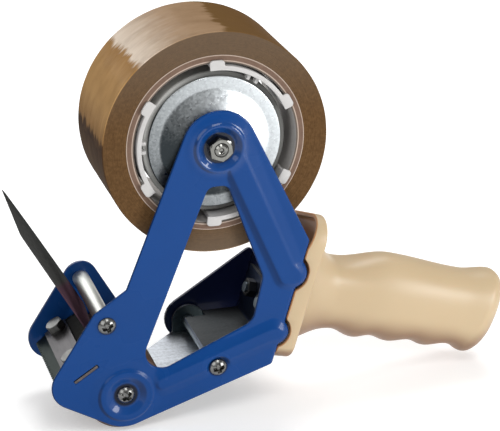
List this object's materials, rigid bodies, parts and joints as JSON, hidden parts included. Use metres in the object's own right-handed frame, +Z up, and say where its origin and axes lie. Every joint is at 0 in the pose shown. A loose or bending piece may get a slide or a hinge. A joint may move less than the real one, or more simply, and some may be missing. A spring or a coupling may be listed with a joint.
{
  "type": "handheld tape dispenser",
  "caption": "Handheld packing-tape dispenser: pressed-steel frame with a braked tape hub, application roller, serrated blade, spring tongue, hinged return stop and a moulded pistol grip.",
  "frame": {"origin": "middle of the footprint, on the floor under the roller", "axes": "+Z up with the tool resting on its roller, -X towards the blade, +X towards the handle, -Y towards the single side plate that carries the hub"},
  "size_m": [0.2448, 0.065, 0.1892],
  "materials": {
    "blue_paint": "gloss",
    "grey_steel": "satin",
    "beige_plastic": "semi-gloss",
    "zinc_steel": "bright zinc",
    "spring_steel": "drawn wire",
    "fibre": "matte",
    "white_plastic": "satin",
    "grey_plastic": "satin",
    "cardboard_core": "matte",
    "brown_tape": "gloss film",
    "chrome": "polished",
    "black_plastic": "matte",
    "brown_rubber": "matte",
    "blade_steel": "ground",
    "blued_steel": "blued"
  },
  "bodies": {
    "frame": {"side_frame": "blue_paint", "far_nose_plate": "blue_paint", "far_arm": "blue_paint", "rear_bracket": "grey_steel", "handle_guard": "beige_plastic", "handle_grip": "beige_plastic", "handle_studs": "grey_steel", "handle_nuts": "zinc_steel", "hub_axle": "grey_steel", "hub_nut": "zinc_steel", "brake_washer": "fibre", "thrust_washer": "zinc_steel", "brake_spring": "spring_steel", "spring_washer": "zinc_steel", "tension_nut": "zinc_steel", "guide_pin": "chrome", "guide_pin_screws": "zinc_steel", "roller_axle": "grey_steel", "roller_screws": "zinc_steel", "blade_holder": "grey_steel", "blade": "blade_steel", "blade_clamp": "zinc_steel", "clamp_bolts": "zinc_steel", "clamp_washers": "grey_steel", "tongue_foot": "blued_steel", "cross_pin": "grey_steel", "cross_pin_screws": "zinc_steel", "stop_spring": "spring_steel"},
    "hub": {"hub_dish": "zinc_steel", "hub_drum": "grey_plastic", "hub_spider": "white_plastic", "tape_core": "cardboard_core", "tape_winding": "brown_tape"},
    "roller": {"roller_core": "white_plastic", "roller_bushes": "black_plastic", "roller_tyre": "brown_rubber"},
    "tongue": {"tongue": "blued_steel"},
    "return_stop": {"return_stop": "zinc_steel"}
  },
  "joints": [
    {"name": "hub_spin", "type": "hinge", "parent": "frame", "child": "hub", "pos_m": [-0.03047, 0.0009, 0.1365], "axis": [0, 1, 0], "continuous": true},
    {"name": "roller_spin", "type": "hinge", "parent": "frame", "child": "roller", "pos_m": [-0.07648, 0.0009, 0.019], "axis": [0, 1, 0], "continuous": true},
    {"name": "tongue_flex", "type": "hinge", "parent": "frame", "child": "tongue", "pos_m": [-0.08719, 0.0009, 0.04426], "axis": [0, 1, 0], "range_deg": [-5, 15], "stiffness_Nm_per_rad": 0.5},
    {"name": "stop_swing", "type": "hinge", "parent": "frame", "child": "return_stop", "pos_m": [-0.03188, 0.0009, 0.027], "axis": [0, 1, 0], "range_deg": [-4, 0], "stiffness_Nm_per_rad": 0.05, "springref_deg": 20.05}
  ]
}
